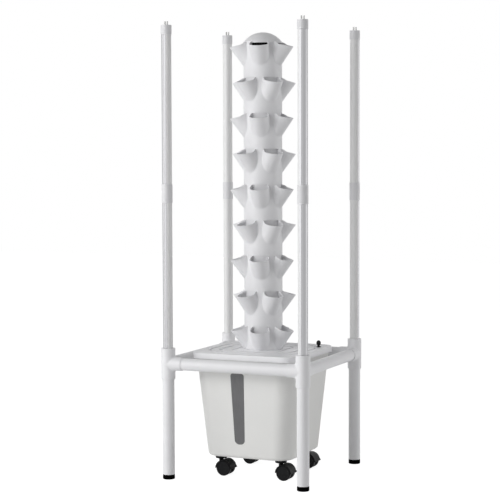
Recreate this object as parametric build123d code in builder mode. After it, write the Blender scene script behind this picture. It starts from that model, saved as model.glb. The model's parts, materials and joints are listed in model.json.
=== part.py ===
"""Hydroponic planting tower: a stack of five-pocket tiers on a rolling water tank,
standing inside a free-standing square frame that carries four posts of grow lamps.

Millimetres, +Z up. The origin is on the floor, under the tower's axis.
"""

import os
from math import acos, asin, atan2, cos, degrees, radians, sin, tan

from build123d import *

os.makedirs("parts", exist_ok=True)

# Pipe frame
frame_side = 382.0
pipe_od = 32.0
pipe_wall = 2.4
pipe_fit = 0.1
rail_height = 306.0
foot_height = 12.5
foot_plug = 18.0
foot_edge = 1.2

# Corner fittings: an upright sleeve with two tapered branches
sleeve_wall = 2.8
sleeve_above_rail = 41.0
sleeve_below_rail = 41.0
branch_reach = 42.0
branch_root_wall = 2.5
branch_mouth_wall = 1.4
branch_blend = 6.0
sleeve_edge = 0.8
lead_in = 0.8
rail_stop = 22.0
leg_stop_below_rail = 6.0
lamp_seat_above_rail = 10.0
wire_bore = 16.0

# Lamps: two tubes, one on the other, on each corner
lamp_length = 437.4
lamp_od = 26.0
lamp_back_wall = 1.6
lamp_back_spread = 66.0
lamp_lens_wall = 1.4
lamp_cap_wall = 1.0
lamp_cap_length = 24.0
lamp_cap_end = 12.0
lamp_fit = 0.1
lamp_groove_width = 1.4
lamp_groove_depth = 0.7
lamp_groove_angle = 38.0
pin_contact_od = 4.4
pin_contact_spacing = 7.0
pin_contact_height = 10.0
board_width = 16.0
board_thickness = 1.2

# Tank
tank_bottom = 54.0
tank_rim = 328.5
tank_half_bottom = 122.8
tank_half_rim = 148.3
tank_corner_bottom = 45.0
tank_corner_rim = 52.0
tank_wall = 2.6
tank_floor = 3.0
tank_edge = 10.0

# Water-level window in the tank's front wall
window_centre_x = -14.0
window_top = 283.0
window_bottom = 92.0
window_width_top = 39.0
window_width_bottom = 28.5
window_corner = 8.0
window_foot = 12.5
window_fit = 0.15
window_flange = 4.0
window_flange_thickness = 1.4

# Lid
lid_clearance = 0.5
lid_skirt_wall = 2.2
lid_skirt_drop = 10.5
lid_plate = 4.5
lid_corner = 38.0
lid_edge = 3.0
groove_width = 8.0
groove_depth = 3.0
groove_half_sizes = (128.0, 101.0, 64.0)
groove_inner_corner = 14.0

# Filler port and its stopper
port_x = 126.5
port_y = 84.0
port_bore = 11.6
port_pad = 26.0
stopper_fit = 0.3
stopper_stem = 12.0
stopper_flange_od = 13.2
stopper_flange = 1.6
stopper_neck_od = 7.0
stopper_neck = 2.2
stopper_bulb_od = 12.4
stopper_bulb_height = 14.8

# Tower tiers
tier_count = 9
tier_pitch = 94.5
tier_od = 103.0
tier_wall = 2.5
tower_sink = 31.0
tower_turn = -4.4
pocket_count = 5
pocket_foot_od = 46.6
pocket_wall = 2.0
pocket_tilt = 35.0
pocket_taper = 2.0
pocket_tip_height = 80.3
rim_slope = 16.0
spigot_depth = 20.0
spigot_wall = 2.2
spigot_fit = 0.3
shoulder_height = 3.0
hub_wall = 2.4
hub_height = 6.0
spoke_width = 3.0
socket_wall = 2.5
socket_floor = 3.0

# Water circuit
riser_od = 20.0
riser_wall = 2.0
riser_guide = 0.6
pump_length = 64.0
pump_width = 50.0
pump_height = 46.0
pump_corner = 8.0
pump_edge = 4.0
pump_foot_od = 12.0
pump_foot_height = 4.0
pump_foot_inset = 10.0
nipple_length = 18.0
strainer_width = 44.0
strainer_height = 34.0
strainer_depth = 9.0
strainer_slots = 6
strainer_slot_width = 3.0
dish_od = 92.0
dish_wall = 2.0
dish_depth = 12.0
dish_flange = 1.2
drip_holes = 10
drip_hole_od = 4.0
drip_circle = 35.0
riser_above_dish = 4.0

# Dome cap
dome_od = 101.0
dome_height = 25.5
dome_wall = 2.2
dome_spigot = 6.0

# Castors
castor_half = 86.4
wheel_od = 40.0
wheel_width = 12.0
wheel_gap = 0.5
wheel_chamfer = 1.6
wheel_dish_od = 31.0
wheel_dish_depth = 0.9
axle_od = 6.0
shaft_fit = 0.08
castor_trail = 13.0
hood_web = 12.0
hood_wall = 1.7
hood_clearance = 0.8
hood_overhang = 0.6
heel_length = 2.8
heel_height = 5.0
bearing_od = 16.0
flange_od = 31.0
flange_thickness = 9.0
flange_edge = 1.2
collar_od = 13.0
collar_height = 2.5
pin_od = 7.0
pin_above_axle = 5.0

# Worked out from the sizes above
half = frame_side / 2
pipe_id = pipe_od - 2 * pipe_wall
pipe_socket_r = pipe_od / 2 + pipe_fit
sleeve_od = 2 * (pipe_socket_r + sleeve_wall)
branch_taper = degrees(atan2(branch_root_wall - branch_mouth_wall, branch_reach))
sleeve_top = rail_height + sleeve_above_rail
sleeve_bottom = rail_height - sleeve_below_rail
leg_top = rail_height - leg_stop_below_rail
lamp_seat = rail_height + lamp_seat_above_rail
lamp_cap_od = lamp_od + 2 * (lamp_fit + lamp_cap_wall)
lamp_socket_r = (pin_contact_spacing + pin_contact_od) / 2 + lamp_fit
lamp_chord = lamp_od / 2 * cos(radians(lamp_back_spread))
lid_half = tank_half_rim + lid_clearance + lid_skirt_wall
lid_top = tank_rim + lid_plate
lid_bottom = tank_rim - lid_skirt_drop
tier_r = tier_od / 2
tier_ir = tier_r - tier_wall
pocket_r = pocket_foot_od / 2
pocket_ir = pocket_r - pocket_wall
tilt = radians(pocket_tilt)
pocket_start = pocket_r
pocket_start_r = pocket_start * sin(tilt) + pocket_r * cos(tilt)
pocket_start_z = pocket_start * cos(tilt) - pocket_r * sin(tilt)
pocket_lean = radians(pocket_tilt + pocket_taper)
pocket_tip_r = pocket_start_r + (pocket_tip_height - pocket_start_z) * tan(pocket_lean)
spigot_or = tier_ir - spigot_fit
spigot_ir = spigot_or - spigot_wall
tower_bottom = lid_top - tower_sink
tower_top = tower_bottom + tier_count * tier_pitch
socket_ir = tier_r + spigot_fit
hub_ir = riser_od / 2 + riser_guide
hub_or = hub_ir + hub_wall
riser_ir = riser_od / 2 - riser_wall
floor_level = tank_bottom + tank_floor
pump_base = floor_level + pump_foot_height
pump_top = pump_base + pump_height
dish_floor = tower_top - dish_depth
riser_top = dish_floor + riser_above_dish
dome_base = tower_top + dish_flange
axle_height = wheel_od / 2
fender_ir = axle_height + hood_clearance
fender_or = fender_ir + hood_wall
wheel_inner = hood_web / 2 + wheel_gap
wheel_outer = wheel_inner + wheel_width
hood_half = wheel_outer + hood_overhang
collar_bottom = tank_bottom - flange_thickness - collar_height

CORNERS = {"front_left": (-1, -1), "front_right": (1, -1), "back_right": (1, 1), "back_left": (-1, 1)}
RAILS = {"front": (0, -1), "right": (1, 0), "back": (0, 1), "left": (-1, 0)}


def save(builder, name):
    """Label the finished piece and write it under that name."""
    builder.part.label = name
    export_step(builder.part, f"parts/{name}.step")


def upright(x, y, z):
    """A level plane at a point."""
    return Plane((x, y, z))


def side_on(x, y, z):
    """A plane square to Y, with its own x along X and its own y along Z."""
    return Plane((x, y, z), x_dir=(1, 0, 0), z_dir=(0, -1, 0))


# Lamp frame


def foot_cap(x, y):
    """A rubber cap as wide as the pipe, with a plug inside it."""
    with BuildPart() as cap:
        with BuildSketch(upright(x, y, 0)):
            Circle(pipe_od / 2)
        extrude(amount=foot_height)
        chamfer(cap.edges().group_by(Axis.Z)[0], foot_edge)
        with BuildSketch(upright(x, y, foot_height)):
            Circle(pipe_id / 2 - pipe_fit)
        extrude(amount=foot_plug)
    return cap


def pipe(plane, length):
    """A length of frame pipe that starts on a plane."""
    with BuildPart() as tube:
        with BuildSketch(plane):
            Circle(pipe_od / 2)
            Circle(pipe_id / 2, mode=Mode.SUBTRACT)
        extrude(amount=length)
    return tube


def is_free_curve(edge):
    """True for an edge that is neither straight nor round, as where two curved walls meet."""
    return edge.geom_type not in (GeomType.LINE, GeomType.CIRCLE)


def end_face(builder, direction):
    """The face of a piece that lies farthest in a direction."""
    return builder.faces().sort_by(Axis((0, 0, 0), direction))[-1]


def corner_fitting(sx, sy):
    """An upright sleeve with a tapered branch for each of its two rails, blended into it."""
    x, y = sx * half, sy * half
    inward = ((-sx, 0, 0), (0, -sy, 0))
    down = (0, 0, -1)
    up = (0, 0, 1)
    with BuildPart() as fitting:
        with BuildSketch(upright(x, y, sleeve_bottom)):
            Circle(sleeve_od / 2)
        extrude(amount=sleeve_top - sleeve_bottom)
        for direction in inward:
            with BuildSketch(Plane((x, y, rail_height), z_dir=direction)):
                Circle(pipe_socket_r + branch_root_wall)
            extrude(amount=branch_reach, taper=branch_taper)
        fillet(fitting.edges().filter_by(is_free_curve), branch_blend)
        for direction in inward:
            with BuildSketch(Plane((x, y, rail_height), z_dir=direction).offset(rail_stop)):
                Circle(pipe_socket_r)
            extrude(amount=branch_reach - rail_stop, mode=Mode.SUBTRACT)
        with BuildSketch(upright(x, y, sleeve_bottom)):
            Circle(pipe_socket_r)
        extrude(amount=leg_top - sleeve_bottom, mode=Mode.SUBTRACT)
        with BuildSketch(upright(x, y, lamp_seat)):
            Circle(lamp_cap_od / 2 + pipe_fit)
        extrude(amount=sleeve_top - lamp_seat, mode=Mode.SUBTRACT)
        with BuildSketch(upright(x, y, leg_top)):
            Circle(wire_bore / 2)
        extrude(amount=lamp_seat - leg_top, mode=Mode.SUBTRACT)
        for direction in (*inward, down):
            chamfer(end_face(fitting, direction).inner_wires().edges(), lead_in)
        for direction in (down, up):
            fillet(end_face(fitting, direction).outer_wire().edges(), sleeve_edge)
    return fitting


def lamp_plane(sx, sy, level, above):
    """A level plane in a lamp, with its own x pointing away from the tower."""
    z = lamp_seat + level * lamp_length + above
    return Plane((sx * half, sy * half, z), x_dir=(sx, sy, 0))


def lamp_backs(sx, sy):
    """The hollow backs of both lamps of a post: an arc closed by a flat, with two grooves outside."""
    inner_r = lamp_od / 2 - lamp_back_wall
    inner_spread = degrees(acos((lamp_chord + lamp_back_wall) / inner_r))
    with BuildPart() as backs:
        for level in range(2):
            with BuildSketch(lamp_plane(sx, sy, level, lamp_cap_end)):
                with BuildLine():
                    arc = CenterArc((0, 0), lamp_od / 2, -lamp_back_spread, 2 * lamp_back_spread)
                    Line(arc @ 1, arc @ 0)
                make_face()
                with BuildLine():
                    arc = CenterArc((0, 0), inner_r, -inner_spread, 2 * inner_spread)
                    Line(arc @ 1, arc @ 0)
                make_face(mode=Mode.SUBTRACT)
                for side in (-1, 1):
                    turn = side * lamp_groove_angle
                    with Locations(Rotation(0, 0, turn) * Location((lamp_od / 2, 0, 0))):
                        Rectangle(2 * lamp_groove_depth, lamp_groove_width, mode=Mode.SUBTRACT)
            extrude(amount=lamp_length - 2 * lamp_cap_end)
    return backs


def lamp_lenses(sx, sy):
    """The opal lenses of both lamps of a post: a shell that ends on the flat of the back."""
    inner_r = lamp_od / 2 - lamp_lens_wall
    inner_spread = degrees(acos(lamp_chord / inner_r))
    with BuildPart() as lenses:
        for level in range(2):
            with BuildSketch(lamp_plane(sx, sy, level, lamp_cap_end)):
                with BuildLine():
                    outer = CenterArc((0, 0), lamp_od / 2, lamp_back_spread, 360 - 2 * lamp_back_spread)
                    inner = CenterArc((0, 0), inner_r, inner_spread, 360 - 2 * inner_spread)
                    Line(outer @ 0, inner @ 0)
                    Line(outer @ 1, inner @ 1)
                make_face()
            extrude(amount=lamp_length - 2 * lamp_cap_end)
    return lenses


def lamp_caps(level):
    """The end caps of the lamps of one level: a cup over each end, the lower one with a socket."""
    depth = lamp_cap_length - lamp_cap_end
    with BuildPart() as caps:
        for sx, sy in CORNERS.values():
            with BuildSketch(lamp_plane(sx, sy, level, 0)):
                Circle(lamp_cap_od / 2)
                Circle(lamp_socket_r, mode=Mode.SUBTRACT)
            extrude(amount=lamp_cap_end)
            with BuildSketch(lamp_plane(sx, sy, level, lamp_length - lamp_cap_end)):
                Circle(lamp_cap_od / 2)
            extrude(amount=lamp_cap_end)
            for start in (lamp_cap_end, lamp_length - lamp_cap_length):
                with BuildSketch(lamp_plane(sx, sy, level, start)):
                    Circle(lamp_cap_od / 2)
                    Circle(lamp_od / 2 + lamp_fit, mode=Mode.SUBTRACT)
                extrude(amount=depth)
    return caps


def lamp_pins():
    """The pair of contact pins on the upper end of every lamp."""
    with BuildPart() as pins:
        for sx, sy in CORNERS.values():
            for level in range(2):
                with BuildSketch(upright(sx * half, sy * half, lamp_seat + (level + 1) * lamp_length)):
                    with GridLocations(pin_contact_spacing, 0, 2, 1):
                        Circle(pin_contact_od / 2)
                extrude(amount=pin_contact_height)
    return pins


def lamp_boards():
    """The light boards, flat on the back of each lamp, behind its lens."""
    with BuildPart() as boards:
        for sx, sy in CORNERS.values():
            for level in range(2):
                with BuildSketch(lamp_plane(sx, sy, level, lamp_cap_end)):
                    with Locations((lamp_chord - board_thickness / 2, 0)):
                        Rectangle(board_thickness, board_width)
                extrude(amount=lamp_length - 2 * lamp_cap_end)
    return boards


# Tank, lid and stopper


def tank_half_at(z):
    """Half the tank's outside width at a height."""
    share = (z - tank_bottom) / (tank_rim - tank_bottom)
    return tank_half_bottom + share * (tank_half_rim - tank_half_bottom)


def tank_corner_at(z):
    """The tank's outside corner radius at a height."""
    share = (z - tank_bottom) / (tank_rim - tank_bottom)
    return tank_corner_bottom + share * (tank_corner_rim - tank_corner_bottom)


window_middle = (window_top + window_bottom) / 2
wall_lean = atan2(tank_half_rim - tank_half_bottom, tank_rim - tank_bottom)
window_wall = tank_wall * cos(wall_lean)
window_plane = Plane(
    (window_centre_x, -tank_half_at(window_middle), window_middle),
    x_dir=(1, 0, 0),
    z_dir=(0, -cos(wall_lean), -sin(wall_lean)),
)


def window_outline(grow, depth):
    """The window's tapered outline with rounded ends, grown all round, at a depth in the wall."""
    tall = (window_top - window_bottom) / 2 / cos(wall_lean)
    top = window_width_top / 2
    bottom = window_width_bottom / 2
    with BuildSketch(window_plane.offset(-depth), mode=Mode.PRIVATE) as outline:
        with BuildLine():
            Polyline((-top, tall), (top, tall), (bottom, -tall), (-bottom, -tall), close=True)
        make_face()
        fillet(outline.vertices().group_by(Axis.Y)[-1], window_corner)
        fillet(outline.vertices().group_by(Axis.Y)[0], window_foot)
        if grow:
            offset(amount=grow, kind=Kind.ARC)
    return outline.sketch


def tank_body():
    """A tapered open tank with rounded corners and a slot for the level window."""
    with BuildPart() as tank:
        for z in (tank_bottom, tank_rim):
            with BuildSketch(Plane.XY.offset(z)):
                RectangleRounded(2 * tank_half_at(z), 2 * tank_half_at(z), tank_corner_at(z))
        loft(ruled=True)
        fillet(tank.faces().sort_by(Axis.Z)[0].edges(), tank_edge)
        for z in (floor_level, tank_rim):
            size = 2 * (tank_half_at(z) - tank_wall)
            with BuildSketch(Plane.XY.offset(z)):
                RectangleRounded(size, size, tank_corner_at(z) - tank_wall)
        loft(ruled=True, mode=Mode.SUBTRACT)
        fillet(tank.edges().filter_by_position(Axis.Z, floor_level, floor_level), tank_edge - tank_wall)
        extrude(window_outline(0, 0), amount=-2 * tank_wall, mode=Mode.SUBTRACT)
    return tank


def level_window():
    """The window pane: it fills the slot, and a flange bears on the wall from inside."""
    with BuildPart() as pane:
        extrude(window_outline(-window_fit, 0), amount=-window_wall)
        extrude(window_outline(window_flange, window_wall), amount=-window_flange_thickness)
    return pane


def tank_lid():
    """A square lid with a skirt, pressed grooves, the tower's socket and the filler port."""
    plate_bottom = lid_top - lid_plate
    socket_bottom = tower_bottom - socket_floor
    with BuildPart() as lid:
        with BuildSketch(Plane.XY.offset(lid_bottom)):
            RectangleRounded(2 * lid_half, 2 * lid_half, lid_corner)
        extrude(amount=lid_top - lid_bottom)
        fillet(lid.faces().sort_by(Axis.Z)[-1].edges(), lid_edge)
        with BuildSketch(Plane.XY.offset(lid_bottom)):
            inner = 2 * (lid_half - lid_skirt_wall)
            RectangleRounded(inner, inner, lid_corner - lid_skirt_wall)
        extrude(amount=plate_bottom - lid_bottom, mode=Mode.SUBTRACT)
        for size in groove_half_sizes:
            corner = groove_inner_corner + size - groove_half_sizes[-1]
            with BuildSketch(Plane.XY.offset(lid_top)):
                RectangleRounded(2 * size + groove_width, 2 * size + groove_width, corner + groove_width)
                RectangleRounded(2 * size - groove_width, 2 * size - groove_width, corner, mode=Mode.SUBTRACT)
                with Locations((port_x, port_y)):
                    Circle(port_pad / 2, mode=Mode.SUBTRACT)
            extrude(amount=-groove_depth, mode=Mode.SUBTRACT)
        with BuildSketch(Plane.XY.offset(socket_bottom)):
            Circle(socket_ir + socket_wall)
        extrude(amount=plate_bottom - socket_bottom)
        with BuildSketch(Plane.XY.offset(tower_bottom)):
            Circle(socket_ir)
        extrude(amount=tower_sink, mode=Mode.SUBTRACT)
        with BuildSketch(Plane.XY.offset(socket_bottom)):
            Circle(spigot_or + spigot_fit)
        extrude(amount=socket_floor, mode=Mode.SUBTRACT)
        with BuildSketch(upright(port_x, port_y, plate_bottom)):
            Circle(port_bore / 2)
        extrude(amount=lid_plate, mode=Mode.SUBTRACT)
    return lid


def filler_stopper():
    """A turned stopper: stem in the port, flange on the lid, neck and egg-shaped knob."""
    stem_r = port_bore / 2 - stopper_fit
    neck_top = stopper_flange + stopper_neck
    bulb_r = stopper_bulb_od / 2
    bulb_middle = neck_top + stopper_bulb_height / 2
    with BuildPart() as stopper:
        with BuildSketch(side_on(port_x, port_y, lid_top)):
            with BuildLine():
                Polyline((0, -stopper_stem), (stem_r, -stopper_stem), (stem_r, 0), (stopper_flange_od / 2, 0),
                         (stopper_flange_od / 2, stopper_flange), (stopper_neck_od / 2, stopper_flange),
                         (stopper_neck_od / 2, bulb_middle), (0, bulb_middle), close=True)
            make_face()
            with Locations((0, bulb_middle)):
                Ellipse(bulb_r, stopper_bulb_height / 2)
            with Locations((-stopper_flange_od, bulb_middle - stopper_stem)):
                Rectangle(2 * stopper_flange_od, 4 * stopper_bulb_height, mode=Mode.SUBTRACT)
        revolve(axis=Axis((port_x, port_y, 0), (0, 0, 1)))
    return stopper


# Tower


def pocket_plane(bottom, angle, along):
    """A plane square to a pocket's slanted axis; all five axes meet at the tier's bottom centre."""
    turn = radians(angle)
    axis = Vector(sin(tilt) * cos(turn), sin(tilt) * sin(turn), cos(tilt))
    return Plane(Vector(0, 0, bottom) + axis * along, x_dir=(-sin(turn), cos(turn), 0), z_dir=axis)


def tier(bottom, first_angle):
    """One tier: a tube with five slanted pockets that widen upwards, a deep spigot and a riser guide."""
    top = bottom + tier_pitch
    rim_at_tube = bottom + pocket_tip_height + (pocket_tip_r - tier_r) * tan(radians(rim_slope))
    reach = pocket_tip_r + pocket_r
    rim_at_reach = rim_at_tube - (reach - tier_r) * tan(radians(rim_slope))
    pocket_length = (pocket_tip_height + pocket_foot_od) / cos(tilt) - pocket_start
    angles = [first_angle + 360 / pocket_count * k for k in range(pocket_count)]
    with BuildPart() as body:
        with BuildSketch(Plane.XY.offset(bottom)):
            Circle(tier_r)
        extrude(amount=tier_pitch)
        for angle in angles:
            with BuildSketch(pocket_plane(bottom, angle, pocket_start)):
                Circle(pocket_r)
            extrude(amount=pocket_length, taper=-pocket_taper)
        with BuildSketch(side_on(0, 0, 0)):
            with BuildLine():
                Polyline((0, top), (tier_r, top), (tier_r, rim_at_tube), (reach, rim_at_reach),
                         (reach, top + pocket_length), (0, top + pocket_length), close=True)
            make_face()
        revolve(axis=Axis.Z, mode=Mode.SUBTRACT)
        with BuildSketch(Plane.XY.offset(bottom)):
            Circle(tier_ir)
        extrude(amount=tier_pitch, mode=Mode.SUBTRACT)
        for angle in angles:
            with BuildSketch(pocket_plane(bottom, angle, pocket_start)):
                Circle(pocket_ir)
            extrude(amount=pocket_length, taper=-pocket_taper, mode=Mode.SUBTRACT)
        with BuildSketch(side_on(0, 0, bottom)):
            with BuildLine():
                lap = tier_ir + tier_wall / 2
                Polyline((spigot_ir, -spigot_depth), (spigot_or, -spigot_depth), (spigot_or, 0), (lap, 0),
                         (lap, shoulder_height), (spigot_ir, shoulder_height), close=True)
            make_face()
        revolve(axis=Axis.Z)
        with BuildSketch(Plane.XY.offset(bottom)):
            for angle in angles:
                with Locations(Rotation(0, 0, angle) * Location((spigot_ir / 2, 0, 0))):
                    Rectangle(spigot_ir + spigot_wall, spoke_width)
            Circle(hub_ir, mode=Mode.SUBTRACT)
        extrude(amount=shoulder_height)
        with BuildSketch(Plane.XY.offset(bottom)):
            Circle(hub_or)
            Circle(hub_ir, mode=Mode.SUBTRACT)
        extrude(amount=hub_height)
    return body


def drip_dish():
    """The dish that hangs in the top tier and spreads the water that the riser brings up."""
    dish_r = dish_od / 2
    guide_r = riser_od / 2 + riser_guide
    with BuildPart() as dish:
        with BuildSketch(Plane.XY.offset(dish_floor - dish_wall)):
            Circle(dish_r)
        extrude(amount=dish_depth + dish_wall)
        with BuildSketch(Plane.XY.offset(tower_top)):
            Circle(tier_r)
        extrude(amount=dish_flange)
        with BuildSketch(Plane.XY.offset(dish_floor)):
            Circle(dish_r - dish_wall)
        extrude(amount=dish_depth + dish_flange, mode=Mode.SUBTRACT)
        with BuildSketch(Plane.XY.offset(dish_floor - dish_wall)):
            Circle(guide_r)
            with PolarLocations(drip_circle, drip_holes):
                Circle(drip_hole_od / 2)
        extrude(amount=dish_wall, mode=Mode.SUBTRACT)
    return dish


def dome_cap():
    """A shallow dome with a spigot that sits in the drip dish."""
    spigot_r = dish_od / 2 - dish_wall - spigot_fit
    ball_r = (dome_od**2 / 4 + dome_height**2) / (2 * dome_height)
    ball_centre = dome_height - ball_r
    inner_r = ball_r - dome_wall
    start = degrees(asin(-ball_centre / ball_r))
    inner_start = degrees(asin(-ball_centre / inner_r))
    with BuildPart() as dome:
        with BuildSketch(side_on(0, 0, dome_base)):
            with BuildLine():
                outer = CenterArc((0, ball_centre), ball_r, start, 90 - start)
                inner = CenterArc((0, ball_centre), inner_r, inner_start, 90 - inner_start)
                Line(outer @ 0, inner @ 0)
                Line(outer @ 1, inner @ 1)
            make_face()
        revolve(axis=Axis.Z)
        with BuildSketch(Plane.XY.offset(dome_base - dome_spigot)):
            Circle(spigot_r)
            Circle(spigot_r - dome_wall, mode=Mode.SUBTRACT)
        extrude(until=Until.NEXT)
    return dome


# Water circuit


def pump_housing():
    """A submersible pump on four feet, with its outlet nipple on top."""
    spread_x = pump_length / 2 - pump_foot_inset
    spread_y = pump_width / 2 - pump_foot_inset
    with BuildPart() as pump:
        with BuildSketch(Plane.XY.offset(pump_base)):
            RectangleRounded(pump_length, pump_width, pump_corner)
        extrude(amount=pump_height)
        fillet(pump.faces().sort_by(Axis.Z)[-1].edges(), pump_edge)
        with BuildSketch(Plane.XY.offset(floor_level)):
            with GridLocations(2 * spread_x, 2 * spread_y, 2, 2):
                Circle(pump_foot_od / 2)
        extrude(amount=pump_foot_height)
        with BuildSketch(Plane.XY.offset(pump_top)):
            Circle(riser_ir - pipe_fit)
        extrude(amount=nipple_length)
    return pump


def pump_strainer():
    """The slotted intake cover on the pump's front."""
    slot_pitch = strainer_width / strainer_slots
    middle = pump_base + pump_height / 2
    with BuildPart() as strainer:
        with BuildSketch(side_on(0, -pump_width / 2, middle)):
            RectangleRounded(strainer_width, strainer_height, pump_edge)
        extrude(amount=strainer_depth)
        with BuildSketch(side_on(0, -pump_width / 2, middle)):
            with GridLocations(slot_pitch, 0, strainer_slots, 1):
                SlotOverall(strainer_height - 2 * pump_edge, strainer_slot_width, rotation=90)
        extrude(amount=strainer_depth, mode=Mode.SUBTRACT)
    return strainer


def riser_pipe():
    """The pipe from the pump's nipple up to the drip dish."""
    with BuildPart() as riser:
        with BuildSketch(Plane.XY.offset(pump_top)):
            Circle(riser_od / 2)
            Circle(riser_ir, mode=Mode.SUBTRACT)
        extrude(amount=riser_top - pump_top)
    return riser


# Castors


def castor_stem(x, y):
    """The flange on the tank's underside, with the collar and the swivel pin."""
    pin_end = axle_height + pin_above_axle
    with BuildPart() as stem:
        with BuildSketch(upright(x, y, tank_bottom - flange_thickness)):
            Circle(flange_od / 2)
        extrude(amount=flange_thickness)
        chamfer(stem.edges().group_by(Axis.Z)[0], flange_edge)
        with BuildSketch(upright(x, y, collar_bottom)):
            Circle(collar_od / 2)
        extrude(amount=collar_height)
        with BuildSketch(upright(x, y, pin_end)):
            Circle(pin_od / 2)
        extrude(amount=collar_bottom - pin_end)
    return stem


def castor_hood(x, y):
    """The swivelling hood: a web between the wheels, a fender over them and the pin's boss."""
    axle_x = x + castor_trail
    centre = side_on(axle_x, y, axle_height)
    with BuildPart() as hood:
        with BuildSketch(centre):
            Circle(fender_or)
            with Locations((0, -fender_or / 2)):
                Rectangle(2 * fender_or, fender_or, mode=Mode.SUBTRACT)
            Circle(bearing_od / 2)
        extrude(amount=hood_web / 2, both=True)
        with BuildSketch(centre):
            Circle(fender_or)
            Circle(fender_ir, mode=Mode.SUBTRACT)
            with Locations((0, -fender_or / 2)):
                Rectangle(2 * fender_or, fender_or, mode=Mode.SUBTRACT)
            with BuildLine():
                Polyline((fender_ir, 0), (fender_or + heel_length, 0), (fender_or, heel_height),
                         (fender_ir, heel_height), close=True)
            make_face()
        extrude(amount=hood_half, both=True)
        with BuildSketch(upright(x, y, axle_height)):
            Circle(hood_web / 2)
        extrude(amount=collar_bottom - axle_height)
        with BuildSketch(centre):
            Circle(axle_od / 2 + shaft_fit)
        extrude(amount=hood_half, both=True, mode=Mode.SUBTRACT)
        with BuildSketch(upright(x, y, axle_height + pin_above_axle)):
            Circle(pin_od / 2 + shaft_fit)
        extrude(amount=collar_bottom - axle_height - pin_above_axle, mode=Mode.SUBTRACT)
    return hood


def castor_wheels(x, y):
    """The twin wheels and their axle, turned as one."""
    axle_x = x + castor_trail
    wheel_r = wheel_od / 2
    with BuildPart() as wheels:
        with BuildSketch(Plane((axle_x, y, axle_height), x_dir=(0, 1, 0), z_dir=(1, 0, 0))):
            with BuildLine():
                Polyline(
                    (0, 0),
                    (0, axle_od / 2),
                    (wheel_inner, axle_od / 2),
                    (wheel_inner, wheel_r - wheel_chamfer),
                    (wheel_inner + wheel_chamfer, wheel_r),
                    (wheel_outer - wheel_chamfer, wheel_r),
                    (wheel_outer, wheel_r - wheel_chamfer),
                    (wheel_outer, wheel_dish_od / 2),
                    (wheel_outer - wheel_dish_depth, wheel_dish_od / 2 - wheel_dish_depth),
                    (wheel_outer - wheel_dish_depth, 0),
                    close=True,
                )
            make_face()
            mirror(about=Plane.YZ)
        revolve(axis=Axis((axle_x, y, axle_height), (0, 1, 0)))
    return wheels


for name, (sx, sy) in CORNERS.items():
    x, y = sx * half, sy * half
    save(foot_cap(x, y), f"foot_cap_{name}")
    save(pipe(upright(x, y, foot_height), leg_top - foot_height), f"leg_{name}")
    save(corner_fitting(sx, sy), f"corner_fitting_{name}")
    save(lamp_backs(sx, sy), f"lamp_backs_{name}")
    save(lamp_lenses(sx, sy), f"lamp_lenses_{name}")

for name, (nx, ny) in RAILS.items():
    run = half - rail_stop
    along = Vector(abs(ny), abs(nx), 0)
    middle = Vector(nx * half, ny * half, rail_height)
    save(pipe(Plane(middle - along * run, z_dir=along), 2 * run), f"rail_{name}")

save(lamp_caps(0), "lamp_caps_lower")
save(lamp_caps(1), "lamp_caps_upper")
save(lamp_pins(), "lamp_pins")
save(lamp_boards(), "lamp_boards")
save(tank_body(), "tank_body")
save(level_window(), "level_window")
save(tank_lid(), "tank_lid")
save(filler_stopper(), "filler_stopper")

for level in range(tier_count):
    number = tier_count - level
    turn = tower_turn + 180 / pocket_count * (level % 2)
    save(tier(tower_bottom + level * tier_pitch, turn), f"tier_{number}")

save(drip_dish(), "drip_dish")
save(dome_cap(), "dome_cap")
save(pump_housing(), "pump_housing")
save(pump_strainer(), "pump_strainer")
save(riser_pipe(), "riser_pipe")

for name, (sx, sy) in CORNERS.items():
    x, y = sx * castor_half, sy * castor_half
    save(castor_stem(x, y), f"castor_stem_{name}")
    save(castor_hood(x, y), f"castor_hood_{name}")
    save(castor_wheels(x, y), f"castor_wheels_{name}")
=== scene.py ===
# %% [markdown]
# # A planting tower inside a frame of grow lamps
#
# The object is a stack of white plastic tiers on a wheeled water tank. A frame of plastic pipe
# stands round it and holds a tube lamp over a tube lamp at each corner. The solids come from the
# CAD model and stay where they are: this file gives them their finish, and rebuilds the moulded
# tiers and the dome as finer surfaces. The scene is in metres, with +Z up and the floor at zero.
# Sizes of the rebuilt pieces are written in millimetres and scaled when their sheets are made.

# %% Load the frame
import json
from math import cos, pi, radians, sin, tan

import bmesh
import bpy
import numpy as np
from mathutils import Matrix, Vector


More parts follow.
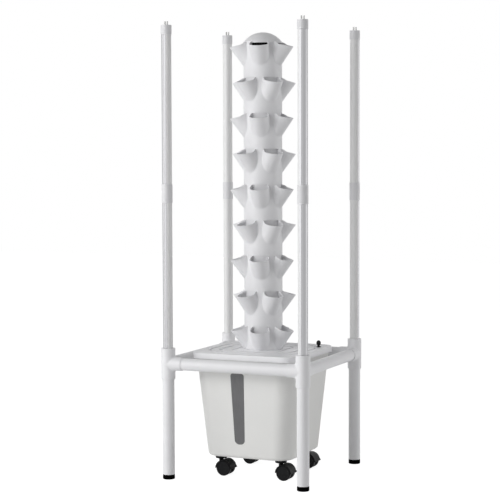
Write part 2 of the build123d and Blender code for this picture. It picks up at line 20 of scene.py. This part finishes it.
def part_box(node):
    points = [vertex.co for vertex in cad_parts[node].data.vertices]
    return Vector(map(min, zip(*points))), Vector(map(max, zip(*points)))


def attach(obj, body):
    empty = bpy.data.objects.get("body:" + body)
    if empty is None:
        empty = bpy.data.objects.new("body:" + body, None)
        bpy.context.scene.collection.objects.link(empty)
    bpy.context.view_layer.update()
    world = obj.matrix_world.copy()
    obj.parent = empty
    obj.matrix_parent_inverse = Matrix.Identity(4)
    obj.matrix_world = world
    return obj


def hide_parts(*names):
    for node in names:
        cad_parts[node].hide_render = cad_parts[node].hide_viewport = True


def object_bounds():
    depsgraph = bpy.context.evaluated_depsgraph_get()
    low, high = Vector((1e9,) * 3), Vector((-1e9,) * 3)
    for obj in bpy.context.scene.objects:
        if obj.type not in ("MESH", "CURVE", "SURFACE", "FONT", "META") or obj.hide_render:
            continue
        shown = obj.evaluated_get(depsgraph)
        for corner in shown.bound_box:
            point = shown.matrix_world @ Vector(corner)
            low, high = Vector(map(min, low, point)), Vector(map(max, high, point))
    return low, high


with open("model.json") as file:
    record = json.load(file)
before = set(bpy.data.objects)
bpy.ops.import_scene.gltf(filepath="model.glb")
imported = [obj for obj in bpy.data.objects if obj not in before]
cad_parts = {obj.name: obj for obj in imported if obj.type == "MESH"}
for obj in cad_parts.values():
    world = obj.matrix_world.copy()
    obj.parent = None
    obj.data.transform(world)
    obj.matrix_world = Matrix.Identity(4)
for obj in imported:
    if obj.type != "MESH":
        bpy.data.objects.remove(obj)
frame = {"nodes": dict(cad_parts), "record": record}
cad_low, cad_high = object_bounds()
nodes = frame["nodes"]
MM = 0.001
print("loaded", len(nodes), "nodes, box", [round(v, 4) for v in cad_high - cad_low])

# %% [markdown]
# ## The camera
#
# A photograph is matched by its station point first: where the lens stood, which way it looked and
# how long it was. The distance sets how strongly the near post is larger than the far one, so it
# can't be traded against the focal length. The lens is written in pixels of a square picture and
# turned into millimetres on Blender's sensor.

# %% Camera at the photograph's station point
picture_side = 500
focal_pixels = 1533.7
station = Vector((1.6263, -3.7756, 0.8487))
look_turn = radians(-23.80)
look_down = radians(3.478)
camera_roll = radians(-0.181)

forward = Vector((sin(look_turn) * cos(look_down), cos(look_turn) * cos(look_down), -sin(look_down)))
level_right = forward.cross(Vector((0, 0, 1))).normalized()
level_up = level_right.cross(forward)
right = level_right * cos(camera_roll) + level_up * sin(camera_roll)
up = right.cross(forward)

lens = bpy.data.cameras.new("camera")
lens.sensor_width = 36.0
lens.lens = lens.sensor_width * focal_pixels / picture_side
lens.clip_end = 100.0
camera = bpy.data.objects.new("camera", lens)
bpy.context.scene.collection.objects.link(camera)
camera.matrix_world = Matrix.Translation(station) @ Matrix((right, up, -forward)).transposed().to_4x4()
bpy.context.scene.camera = camera
bpy.context.scene.view_settings.view_transform = "Standard"
print("camera", round(lens.lens, 2), "mm,", round(station.length, 3), "m from the origin")

# %% [markdown]
# ## Colours and nodes
#
# Colours are picked as they look on a screen, which is the sRGB scale, but a renderer adds light
# on a linear scale. One function turns a hex colour into linear values. A second one adds a shader
# node: it sets the node's own options, and each input gets either a plain value or a link. The rest
# are steps that the finishes share: noise in cells of a given size, a tint between two colours, and
# a roughness that strays a little to both sides.

# %% Small helpers for materials


def linear(hex_colour):
    """Linear RGBA of an sRGB hex colour.

    Each channel c becomes ((c + 0.055) / 1.055) to the power 2.4, or c / 12.92 where it is very dark.
    """
    parts = np.array([int(hex_colour[k:k + 2], 16) for k in (1, 3, 5)]) / 255
    low = parts / 12.92
    high = ((parts + 0.055) / 1.055) ** 2.4
    return (*np.where(parts <= 0.04045, low, high), 1.0)


def add_node(tree, kind, inputs=None, **options):
    """Add one node to a tree, set its options, and fill or link its inputs."""
    made = tree.nodes.new(kind)
    for key, value in options.items():
        setattr(made, key, value)
    for key, value in (inputs or {}).items():
        if isinstance(value, bpy.types.NodeSocket):
            tree.links.new(value, made.inputs[key])
        else:
            made.inputs[key].default_value = value
    return made


def new_material(name):
    """An empty node material with its output node; returns the material, its tree and the output."""
    material = bpy.data.materials.new(name)
    material.use_nodes = True
    material.node_tree.nodes.clear()
    output = add_node(material.node_tree, "ShaderNodeOutputMaterial")
    return material, material.node_tree, output


def noise(tree, place, cell_mm, detail):
    """Noise with cells cell_mm across: a noise texture's scale is the number of cells in a metre."""
    made = add_node(tree, "ShaderNodeTexNoise", {"Vector": place, "Scale": 1000 / cell_mm, "Detail": detail})
    return made.outputs["Fac"]


def tint_between(tree, share, colours):
    """A colour between two hex colours, by a share from 0 to 1."""
    mix = add_node(tree, "ShaderNodeMix", {
        0: share,
        6: linear(colours[0]),
        7: linear(colours[1]),
    }, data_type="RGBA")
    return mix.outputs[2]


def roughness_around(tree, share, roughness, haze):
    """A roughness that strays by haze to both sides, by a share from 0 to 1."""
    spread = add_node(tree, "ShaderNodeMapRange", {
        "Value": share,
        "To Min": roughness - haze,
        "To Max": roughness + haze,
    })
    return spread.outputs["Result"]


print("white is", [round(v, 3) for v in linear("#FFFFFF")], "grey is", round(linear("#808080")[0], 3))

# %% [markdown]
# ## Moulded and extruded plastics
#
# Most of the object is plastic: extruded PVC pipe, injection-moulded tiers and lid, a large moulded
# tank. What tells them apart is the surface the tool left. Pipe is nearly smooth, moulded parts have
# a fine eroded grain, and a large tank has slow waves as well. White plastic is never one flat white:
# the melt is a little uneven, and handling leaves some places duller than others. One function makes
# them all from two close colours, a roughness, a grain in millimetres and the depth of that grain.

# %% One recipe for plastics
cloud_mm = 40.0
plastic_haze = 0.05
plastic_relief = 0.5
plastic_ior = 1.5


def moulded_plastic(name, colours, roughness, grain_mm, grain_depth_mm, sheen=0.5, wave_mm=0.0,
                    wave_depth_mm=0.0):
    """A dielectric with uneven colour and gloss, fine grain as bump, and slow waves where asked for.

    The colour clouds are cloud_mm across: real ones are larger and fainter and would not show.
    """
    material, tree, output = new_material(name)
    place = add_node(tree, "ShaderNodeTexCoord").outputs["Object"]
    clouds = noise(tree, place, cloud_mm, detail=3.0)
    bump = add_node(tree, "ShaderNodeBump", {
        "Height": noise(tree, place, grain_mm, detail=2.0),
        "Distance": grain_depth_mm * MM,
        "Strength": plastic_relief,
    })
    if wave_mm:
        bump = add_node(tree, "ShaderNodeBump", {
            "Height": noise(tree, place, wave_mm, detail=0.0),
            "Distance": wave_depth_mm * MM,
            "Strength": plastic_relief,
            "Normal": bump.outputs["Normal"],
        })
    surface = add_node(tree, "ShaderNodeBsdfPrincipled", {
        "Base Color": tint_between(tree, clouds, colours),
        "Roughness": roughness_around(tree, clouds, roughness, plastic_haze),
        "Specular IOR Level": sheen,
        "IOR": plastic_ior,
        "Normal": bump.outputs["Normal"],
    })
    tree.links.new(surface.outputs["BSDF"], output.inputs["Surface"])
    return material


finishes = {
    # Pipe leaves its die smooth, so it carries one long soft highlight.
    "white_pvc": moulded_plastic("extruded_pvc_white", ("#ECECEE", "#F0F0F2"), 0.42, 3.0, 0.02),
    # A spark-eroded mould gives the tiers a fine matt skin with no clear reflection.
    "tower_white": moulded_plastic("moulded_abs_white", ("#E9E9EB", "#EEEEF0"), 0.5, 1.2, 0.03),
    # The lid's mould is polished a little more, and a flat lid shows a faint sheen.
    "lid_white": moulded_plastic("moulded_abs_lid", ("#F3F3F5", "#F7F7F9"), 0.46, 1.2, 0.03),
    # Thick polypropylene sinks as it cools: slow waves that bend the shading of the flat walls.
    "tank_plastic": moulded_plastic(
        "moulded_polypropylene_tank", ("#E6E6E4", "#EAEAE8"), 0.5, 1.5, 0.04,
        wave_mm=60.0, wave_depth_mm=0.2,
    ),
    # Lamp caps are a greyer white than the pipe beside them.
    "lamp_cap_plastic": moulded_plastic(
        "moulded_polycarbonate_cap", ("#DADADC", "#E0E0E2"), 0.45, 1.2, 0.02,
    ),
    # The riser is plain pressure pipe, a little warmer in tone.
    "riser_pvc": moulded_plastic("extruded_pvc_riser", ("#E0E0DE", "#E6E6E4"), 0.45, 3.0, 0.02),
    # White solder resist with the weave of the glass cloth just showing.
    "light_board": moulded_plastic("printed_circuit_board_white", ("#EEECE0", "#F2F0E4"), 0.5, 1.0, 0.02),
    # Black pieces reflect little, so their form is read from a weak, wide sheen only.
    "stopper_black": moulded_plastic("moulded_nylon_stopper", ("#0E0E0F", "#131314"), 0.45, 1.0, 0.03, 0.2),
    "dish_black": moulded_plastic("moulded_abs_dish", ("#0A0A0B", "#0F0F10"), 0.6, 1.0, 0.03, 0.1),
    "pump_plastic": moulded_plastic("moulded_abs_pump", ("#1A1B1E", "#202124"), 0.5, 1.0, 0.04, 0.3),
    "castor_black": moulded_plastic("moulded_nylon_hood", ("#0A0A0B", "#0E0E0F"), 0.42, 1.0, 0.03, 0.1),
    # A castor's wheel is scuffed by the floor, which greys its black.
    "castor_tread": moulded_plastic("moulded_nylon_wheel", ("#161617", "#1D1E1F"), 0.5, 1.0, 0.04, 0.08),
    # Rubber is the dullest black of all.
    "black_rubber": moulded_plastic("moulded_rubber_foot", ("#080808", "#0D0D0D"), 0.8, 0.8, 0.05, 0.0),
}
print("plastics:", ", ".join(sorted(m.name for m in finishes.values())))

# %% [markdown]
# ## Metals
#
# The back of a tube lamp is a pulled aluminium profile with a matt anodised skin. The die leaves fine
# lines along the lamp, and they spread a reflection sideways but not lengthways, which is why such a
# profile shows soft upright bands. So the noise that roughens it is stretched a hundredfold along Z.
# The contact pins are tinned brass, and the castors' pins and flanges are blackened steel.

# %% Drawn and blackened metal
metal_haze = 0.08
metal_relief = 0.4


def drawn_lines(tree, line_mm, run_mm):
    """Noise in lines, with cells of line_mm across and run_mm along Z."""
    place = add_node(tree, "ShaderNodeTexCoord").outputs["Object"]
    stretched = add_node(tree, "ShaderNodeMapping", {
        "Vector": place,
        "Scale": (1000 / line_mm, 1000 / line_mm, 1000 / run_mm),
    })
    made = add_node(tree, "ShaderNodeTexNoise", {"Vector": stretched.outputs["Vector"], "Scale": 1.0})
    return made.outputs["Fac"]


def drawn_metal(name, colours, roughness, line_mm, run_mm, line_depth_mm):
    """A metal whose tint, gloss and relief run in drawn lines."""
    material, tree, output = new_material(name)
    lines = drawn_lines(tree, line_mm, run_mm)
    relief = add_node(tree, "ShaderNodeBump", {
        "Height": lines,
        "Distance": line_depth_mm * MM,
        "Strength": metal_relief,
    })
    surface = add_node(tree, "ShaderNodeBsdfPrincipled", {
        "Base Color": tint_between(tree, lines, colours),
        "Metallic": 1.0,
        "Roughness": roughness_around(tree, lines, roughness, metal_haze),
        "Normal": relief.outputs["Normal"],
    })
    tree.links.new(surface.outputs["BSDF"], output.inputs["Surface"])
    return material


# Real die lines are a tenth of a millimetre wide; at 0.8 mm they are coarse enough to show.
# They turn the lamp's highlight into soft upright bands.
finishes["lamp_aluminium"] = drawn_metal(
    "anodised_aluminium_back", ("#A8A8AA", "#B4B4B6"), 0.55, line_mm=0.8, run_mm=80.0, line_depth_mm=0.03,
)
# Tin hides the brass, so the pins are a neutral grey.
finishes["contact_metal"] = drawn_metal(
    "tinned_brass_pins", ("#9C9C9C", "#ACACAA"), 0.4, line_mm=0.8, run_mm=20.0, line_depth_mm=0.02,
)
# A black oxide skin keeps only a dark glint of the steel.
finishes["castor_steel"] = drawn_metal(
    "blackened_steel_stem", ("#141415", "#1C1C1D"), 0.5, line_mm=0.8, run_mm=20.0, line_depth_mm=0.02,
)
print("metals: aluminium, tinned brass, blackened steel")

# %% [markdown]
# ## Opal lens and smoked window
#
# The lens over a light board is opal polycarbonate: it is pulled through a die like the aluminium, so it
# has faint lines too, and it scatters light under its skin. The level window is a smoked acrylic strip.
# It lets a quarter of the light through and carries a haze of fine rubbing marks, which change its gloss
# and, a little, its tone.

# %% Two clear plastics
clear_haze = 0.06
clear_ior = 1.55
scatter_mm = 2.0


def clear_plastic(name, colours, roughness, line_mm, run_mm, passes, scatter):
    """A dielectric, hazed in lines, that lets a share of light pass or scatters it under its skin."""
    material, tree, output = new_material(name)
    lines = drawn_lines(tree, line_mm, run_mm)
    surface = add_node(tree, "ShaderNodeBsdfPrincipled", {
        "Base Color": tint_between(tree, lines, colours),
        "Roughness": roughness_around(tree, lines, roughness, clear_haze),
        "IOR": clear_ior,
        "Transmission Weight": passes,
        "Subsurface Weight": scatter,
        "Subsurface Radius": (scatter_mm * MM, scatter_mm * MM, scatter_mm * MM),
        "Subsurface Scale": 1.0,
    })
    tree.links.new(surface.outputs["BSDF"], output.inputs["Surface"])
    return material


# Light that scatters under the skin evens out the shading, so the lens looks flat and milky.
finishes["opal_lens"] = clear_plastic(
    "opal_polycarbonate_lens", ("#E4E4E4", "#EAEAEA"), 0.4,
    line_mm=1.5, run_mm=120.0, passes=0.0, scatter=0.2,
)
# Cast acrylic is polished, and the haze leaves only a broad grey gleam.
finishes["window_plastic"] = clear_plastic(
    "smoked_acrylic_window", ("#646466", "#767678"), 0.32,
    line_mm=3.0, run_mm=40.0, passes=0.25, scatter=0.0,
)
print("clear plastics: opal lens, smoked window")

# %% Put each finish on the nodes of its slot
for part in frame["record"]["subparts"]:
    mesh = nodes[part["node"]].data
    mesh.materials.clear()
    mesh.materials.append(finishes[part["material_slot"]])

# %% [markdown]
# ## Surfaces from grids
#
# A moulded piece is easiest to describe as a sheet: every point has a place along the outline and a
# place round the axis, and a formula gives its position. Numpy works out the whole sheet at once.
# The quads only need the numbers of their corners, and a sheet that closes on itself wraps round to
# the first row or column. Several sheets can share one mesh.

# %% Sheets to meshes
sharp_angle = radians(40)
weld_reach = 1e-7


def quads(rows, columns, first, wrap_rows, wrap_columns):
    """Corner numbers of every quad of a grid, whose first point has the number first."""
    i = np.arange(rows if wrap_rows else rows - 1)
    j = np.arange(columns if wrap_columns else columns - 1)
    i, j = np.meshgrid(i, j, indexing="ij")
    below, beside = (i + 1) % rows, (j + 1) % columns
    corners = [i * columns + j, below * columns + j, below * columns + beside, i * columns + beside]
    return np.stack(corners, -1).reshape(-1, 4) + first


def moulded_piece(name, sheets, slot, body, *stands_for):
    """One smooth mesh of sheets (points, wrap_rows, wrap_columns) that replaces CAD nodes on a body."""
    points, faces, count = [], [], 0
    for sheet, wrap_rows, wrap_columns in sheets:
        rows, columns = sheet.shape[:2]
        points.append(sheet.reshape(-1, 3))
        faces.append(quads(rows, columns, count, wrap_rows, wrap_columns))
        count += rows * columns
    mesh = bpy.data.meshes.new(name)
    mesh.from_pydata(np.concatenate(points), [], np.concatenate(faces))
    welded = bmesh.new()
    welded.from_mesh(mesh)
    bmesh.ops.remove_doubles(welded, verts=welded.verts, dist=weld_reach)
    welded.to_mesh(mesh)
    welded.free()
    mesh.shade_smooth()
    mesh.set_sharp_from_angle(angle=sharp_angle)
    mesh.materials.append(finishes[slot])
    made = bpy.data.objects.new(name, mesh)
    bpy.context.scene.collection.objects.link(made)
    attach(made, body)
    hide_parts(*stands_for)


# %% [markdown]
# ## Turned rings
#
# Inside the tower everything is round: spigots, shoulders, the ring that guides the riser. Each is an
# outline of radius and height carried round the axis. Corners of the outline are rounded by short
# arcs, because a moulded edge is never knife-sharp, and it is the small highlight on it that makes a
# piece look real.

# %% An outline with rounded corners, and its turned sheet


def rounded(corners, radii, steps=5):
    """An outline through corners, each cut back and bridged by a curve of its radius.

    A corner P between A and B becomes the quadratic curve from P towards A to P towards B, each at
    the corner's radius from P: (1-t)^2 a + 2t(1-t) P + t^2 b.
    """
    corners = np.array(corners, float)
    outline = []
    for k, size in enumerate(radii):
        point = corners[k]
        if size == 0:
            outline.append(point[None])
            continue
        back = corners[k - 1] - point
        ahead = corners[(k + 1) % len(corners)] - point
        a = point + back / np.linalg.norm(back) * size
        b = point + ahead / np.linalg.norm(ahead) * size
        t = np.linspace(0, 1, steps)[:, None]
        outline.append((1 - t) ** 2 * a + 2 * t * (1 - t) * point + t ** 2 * b)
    return np.concatenate(outline)


def turned(outline, centre, steps=72):
    """A sheet of an outline (radius, height) carried round a vertical axis through the centre."""
    angle = np.linspace(0, 2 * pi, steps, endpoint=False)[:, None]
    radius, height = outline[:, 0][None], outline[:, 1][None]
    sheet = np.stack([radius * np.cos(angle), radius * np.sin(angle), height + 0 * angle], -1)
    return sheet + np.array(centre)


# %% [markdown]
# ## The tiers
#
# A tier is one moulding: a tube with five slanted cups round it, open to the tube inside. Seen from
# above at any height it is a circle joined to five ellipses, and from the axis every direction meets
# the wall once. So the wall is a radius that depends on direction and height, and the soft valley
# between a cup and the tube is a maximum that is eased where the two come close. Joining solids
# would leave sharp valleys that no mould has.

# %% Radius of a tier's wall
tube_r = 51.5
tube_wall = 2.5
tier_pitch = 94.5
cup_count = 5
tower_turn = radians(-4.4)
cup_foot_r = 23.3
cup_wall = 2.0
cup_tilt = radians(35.0)
cup_taper = tan(radians(2.0))
cup_r = cup_foot_r * (1 - cup_taper)
cup_tip_height = 80.3
rim_fall = tan(radians(16.0))
valley = 1.2
inner_valley = 1.0
lip_ease = 1.5
lip_rise = 0.4
seat_height = 32.0
seat_width = 1.2
seat_depth = 2.0
seat_reach = 2.0
seat_rows = seat_height + np.linspace(-seat_reach, seat_reach, 9)


def eased_max(a, b, reach):
    """The larger of a and b, plus a quarter of reach where they are equal, easing off to nothing."""
    near = np.clip(reach - np.abs(a - b), 0, None) / reach
    return np.maximum(a, b) + near ** 2 * reach / 4


def cup_exit(angle, height, radius):
    """Distance from the tower's axis at which a level ray leaves a slanted cup, or 0 if it misses.

    The cup is a cone: s along its axis its radius is radius + taper s. A point d out along the ray is
    s = d u + w along that axis, with u = cos(angle) sin(tilt) and w = height cos(tilt). The wall is
    where d d + height height - s s is the radius squared, and the larger root of that is the exit.
    """
    u = np.cos(angle) * sin(cup_tilt)
    w = height * cos(cup_tilt)
    level = radius + cup_taper * w
    a = 1 - u ** 2 * (1 + cup_taper ** 2)
    b = u * (w + cup_taper * level)
    root = b ** 2 - a * (height ** 2 - w ** 2 - level ** 2)
    return np.where(root > 0, (b + np.sqrt(np.clip(root, 0, None))) / a, 0.0)


cup_tip_r = float(cup_exit(np.zeros(1), cup_tip_height, cup_r)[0])
print("cups reach", round(cup_tip_r, 1), "mm from the axis")


def wall_radius(angle, height, tube, cup, blend):
    """Radius of a tier's wall in one direction from a cup's middle, at one height."""
    return eased_max(tube + 0 * height, cup_exit(angle, height, cup), blend)


def rim_height(angle, tube, cup, blend):
    """Height of the wall's upper edge: the full tier between cups, and the falling cone of the rim on them.

    The cone falls away from the axis while the cup widens upwards, so halving the span finds where
    they meet.
    """
    low = 0 * angle
    high = low + tier_pitch
    for _ in range(40):
        middle = (low + high) / 2
        cone = cup_tip_height + (cup_tip_r - wall_radius(angle, middle, tube, cup, blend)) * rim_fall
        low, high = np.where(middle < cone, middle, low), np.where(middle < cone, high, middle)
    ease = np.clip((wall_radius(angle, low, tube, cup, blend) - tube) / lip_ease, 0, 1)
    return tier_pitch + (low - tier_pitch) * ease ** 2 * (3 - 2 * ease)


# %% A sheet for the whole wall


def tier_wall(bottom, first_turn, seat_groove, samples=92, outside=34, inside=20, lip=5):
    """The closed wall of a tier: up the outside, over the lip, down the inside, all the way round.

    The directions are spread evenly along the rim of one fifth of the tier, not evenly in angle,
    because the sides of a cup run almost straight away from the axis. A seat groove is a bell-shaped
    dip of the wall at one height, with extra rows of points there.
    """
    fine = np.linspace(-pi / cup_count, pi / cup_count, 4000)
    edge = wall_radius(fine, 0 * fine + cup_tip_height, tube_r, cup_r, valley)
    along = np.concatenate([[0], np.cumsum(np.hypot(np.diff(edge), edge[1:] * np.diff(fine)))])
    angle = np.interp(np.linspace(0, along[-1], samples, endpoint=False), along, fine)[:, None]

    outer_top = rim_height(angle, tube_r, cup_r, valley)
    inner_top = rim_height(angle, tube_r - tube_wall, cup_r - cup_wall, inner_valley)
    outer_rows = np.sort(np.concatenate([np.linspace(0, 1, outside), seat_rows / tier_pitch]))
    outer_z = outer_rows[None] * outer_top
    inner_z = np.linspace(1, 0, inside)[None] * inner_top
    outer = wall_radius(angle, outer_z, tube_r, cup_r, valley)
    outer = outer - seat_groove * np.exp(-((outer_z - seat_height) / seat_width) ** 2)
    inner = wall_radius(angle, inner_z, tube_r - tube_wall, cup_r - cup_wall, inner_valley)
    t = np.linspace(0, 1, lip + 2)[1:-1][None]
    ridge_r = (outer[:, -1:] + inner[:, :1]) / 2
    ridge_z = np.maximum(outer_top, inner_top) + lip_rise
    lip_r, lip_z = [(1 - t) ** 2 * a + 2 * t * (1 - t) * c + t ** 2 * b
                    for a, c, b in ((outer[:, -1:], ridge_r, inner[:, :1]), (outer_top, ridge_z, inner_top))]
    radius = np.concatenate([outer, lip_r, inner], 1)
    height = np.clip(np.concatenate([outer_z, lip_z, inner_z], 1), 0, tier_pitch)

    turns = first_turn + 2 * pi / cup_count * np.arange(cup_count)
    turn = (turns[:, None, None] + angle[None]).reshape(-1, 1)
    radius, height = np.tile(radius, (cup_count, 1)), np.tile(height, (cup_count, 1))
    return np.stack([radius * np.cos(turn), radius * np.sin(turn), height + bottom], -1) * MM


# %% [markdown]
# ## Inside a tier
#
# Each tier plugs into the one below with a thin spigot under a shoulder. Five spokes hold a ring in
# the middle that keeps the riser pipe upright. It shows through the cups and when a tier is lifted.

# %% Spigot, spokes and riser ring
spigot_r = 48.7
spigot_wall = 2.2
spigot_round = 0.6
shoulder = 3.0
shoulder_lap = 0.2
ring_r = 10.6
ring_wall = 2.4
ring_height = 6.0
ring_round = 0.4
spoke_width = 3.0


def tier_inside(bottom, first_turn, spigot_depth):
    """Two turned rings and five bars: the spigot with its shoulder, the riser's ring and its spokes."""
    spigot_in = spigot_r - spigot_wall
    lap = tube_r - tube_wall + shoulder_lap
    spigot = rounded([(spigot_in, -spigot_depth), (spigot_r, -spigot_depth), (spigot_r, 0), (lap, 0),
                      (lap, shoulder), (spigot_in, shoulder)],
                     [spigot_round, spigot_round, 0, 0, 0, spigot_round])
    ring_out = ring_r + ring_wall
    ring = rounded([(ring_r, 0), (ring_out, 0), (ring_out, ring_height), (ring_r, ring_height)],
                   [ring_round] * 4)
    sheets = [(turned(outline, (0, 0, bottom)) * MM, True, True) for outline in (spigot, ring)]
    half = spoke_width / 2
    section = np.array([(-half, 0), (half, 0), (half, shoulder), (-half, shoulder)])
    for turn in first_turn + 2 * pi / cup_count * np.arange(cup_count):
        ends = np.array([ring_r + ring_wall / 2, spigot_in + spigot_wall / 2])[:, None]
        x = ends * np.cos(turn) - section[None, :, 0] * np.sin(turn)
        y = ends * np.sin(turn) + section[None, :, 0] * np.cos(turn)
        z = section[None, :, 1] + bottom + 0 * ends
        sheets.append((np.stack([x, y, z], -1) * MM, False, True))
    return sheets


tier_names = sorted((n for n in nodes if n.startswith("tier_")), key=lambda n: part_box(n)[0].z)
for level, node in enumerate(tier_names):
    low, high = (corner.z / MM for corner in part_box(node))
    bottom = high - tier_pitch
    first_turn = tower_turn + pi / cup_count * (level % 2)
    groove = seat_depth if level == 0 else 0.0
    wall = tier_wall(bottom, first_turn, groove)
    sheets = [(wall, True, True)] + tier_inside(bottom, first_turn, bottom - low)
    moulded_piece(f"{node}_moulding", sheets, "tower_white", "tower", node)
print("moulded", len(tier_names), "tiers with", cup_count, "cups each")

# %% [markdown]
# ## The dome
#
# The cap is a thin bowl turned upside down. Its crown is a part of a ball. A short skirt hangs over the
# end of the tower, and a ring inside it finds the dish, so the cap can't slip off. All of it is one
# outline of radius and height, carried round the axis like the rings above.

# %% A ball's crown, a skirt and a ring
dome_low, dome_high = (corner.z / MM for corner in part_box("dome_cap"))
dome_wall = 2.2
dome_ring_r = 43.7
dome_ring_depth = 6.0
dome_ring_round = 0.5
dome_seat = dome_low + dome_ring_depth
crown_r = 50.5
crown_foot = 0.8
skirt_r = 52.0
skirt_in = 51.6
skirt_drop = 4.8
skirt_shoulder = 0.6
skirt_round = 0.9
skirt_edge_round = 0.15


def crown(radius, foot, top, steps=24):
    """Points of a ball's crown from its top to its foot: the ball's radius is (r r + h h) / 2h."""
    rise = top - foot
    ball = (radius ** 2 + rise ** 2) / (2 * rise)
    turn = np.linspace(0, np.arcsin(radius / ball), steps)
    return np.stack([ball * np.sin(turn), top - ball + ball * np.cos(turn)], -1)


outer_crown = crown(crown_r, dome_seat + crown_foot, dome_high)
inner_crown = crown(dome_ring_r - dome_wall, dome_seat, dome_high - dome_wall)[::-1]
skirt_top = dome_seat - skirt_shoulder
skirt_end = dome_seat - skirt_drop
edge = rounded([outer_crown[-1], (skirt_r, skirt_top), (skirt_r, skirt_end), (skirt_in, skirt_end),
                (skirt_in, dome_seat), (dome_ring_r, dome_seat), (dome_ring_r, dome_low),
                (dome_ring_r - dome_wall, dome_low)],
               [0, skirt_round, skirt_edge_round, skirt_edge_round, 0, 0, dome_ring_round, dome_ring_round])
outline = np.concatenate([outer_crown[:-1], edge, inner_crown])
dome_sheet = turned(outline, (0, 0, 0)) * MM
moulded_piece("dome_moulding", [(dome_sheet, True, False)], "tower_white", "dome", "dome_cap")
print("dome", round(dome_high - dome_seat + skirt_drop, 1), "mm tall")

# %% [markdown]
# ## The studio
#
# The photograph is a cut-out on white: soft light from the front left, with the right-hand sides in
# an even grey shade. A large lamp on the left gives that fall of light, a second one in front and
# higher up lights the upper faces, a weaker one behind on the right opens the shade, and the world
# fills the rest. Through Light Path the camera and reflections see the world and most of the floor as
# plain white, which adds no diffuse light to the object, and the floor keeps a faint shadow.

# %% Floor and world


def sees_white(tree):
    """1 where a ray comes from the camera, a mirror or a clear piece, and 0 for light on a surface."""
    path = add_node(tree, "ShaderNodeLightPath")
    gloss = add_node(tree, "ShaderNodeMath", {
        0: path.outputs["Is Camera Ray"],
        1: path.outputs["Is Glossy Ray"],
    }, operation="MAXIMUM")
    clear = add_node(tree, "ShaderNodeMath", {
        0: gloss.outputs[0],
        1: path.outputs["Is Transmission Ray"],
    }, operation="MAXIMUM")
    return clear.outputs[0]


world_light = 0.27
floor_share = 0.60
floor_glow = 1.54
floor_half = 8.0

world = bpy.data.worlds.new("studio")
world.use_nodes = True
world.node_tree.nodes.clear()
sky = world.node_tree
soft = add_node(sky, "ShaderNodeBackground", {"Color": (1.0, 1.0, 1.0, 1.0), "Strength": world_light})
paper = add_node(sky, "ShaderNodeBackground", {"Color": (1.0, 1.0, 1.0, 1.0), "Strength": 1.0})
either = add_node(sky, "ShaderNodeMixShader", {0: sees_white(sky), 1: soft.outputs[0], 2: paper.outputs[0]})
add_node(sky, "ShaderNodeOutputWorld", {"Surface": either.outputs[0]})
bpy.context.scene.world = world

floor_finish, tree, output = new_material("painted_studio_floor")
matt = add_node(tree, "ShaderNodeBsdfDiffuse", {"Color": linear("#F4F4F4")})
glow = add_node(tree, "ShaderNodeEmission", {"Color": (1.0, 1.0, 1.0, 1.0), "Strength": floor_glow})
share = add_node(tree, "ShaderNodeMath", {0: sees_white(tree), 1: floor_share}, operation="MULTIPLY")
mixed = add_node(tree, "ShaderNodeMixShader", {0: share.outputs[0], 1: matt.outputs[0], 2: glow.outputs[0]})
tree.links.new(mixed.outputs[0], output.inputs["Surface"])

floor_mesh = bpy.data.meshes.new("floor")
corners = [(-floor_half, -floor_half, 0), (floor_half, -floor_half, 0), (floor_half, floor_half, 0),
           (-floor_half, floor_half, 0)]
floor_mesh.from_pydata(corners, [], [(0, 1, 2, 3)])
floor_mesh.materials.append(floor_finish)
floor = bpy.data.objects.new("floor", floor_mesh)
bpy.context.scene.collection.objects.link(floor)

# %% Lamps of the studio


def soft_lamp(name, place, aim, width, height, power):
    """A wide area lamp at a place, turned towards a point."""
    light = bpy.data.lights.new(name, "AREA")
    light.shape = "RECTANGLE"
    light.size = width
    light.size_y = height
    light.energy = power
    lamp = bpy.data.objects.new(name, light)
    bpy.context.scene.collection.objects.link(lamp)
    toward = Vector(aim) - Vector(place)
    lamp.matrix_world = Matrix.Translation(place) @ toward.to_track_quat("-Z", "Y").to_matrix().to_4x4()


middle = (0.0, 0.0, (cad_low.z + cad_high.z) / 2)
soft_lamp("key", (-2.36, -2.45, 0.8), middle, 2.2, 1.4, 43.0)
soft_lamp("high", (-1.03, -2.82, 2.0), middle, 1.6, 1.4, 28.0)
soft_lamp("rim", (2.94, 1.70, 0.7), middle, 1.5, 1.2, 25.0)
print("studio: world", world_light, "and three lamps")
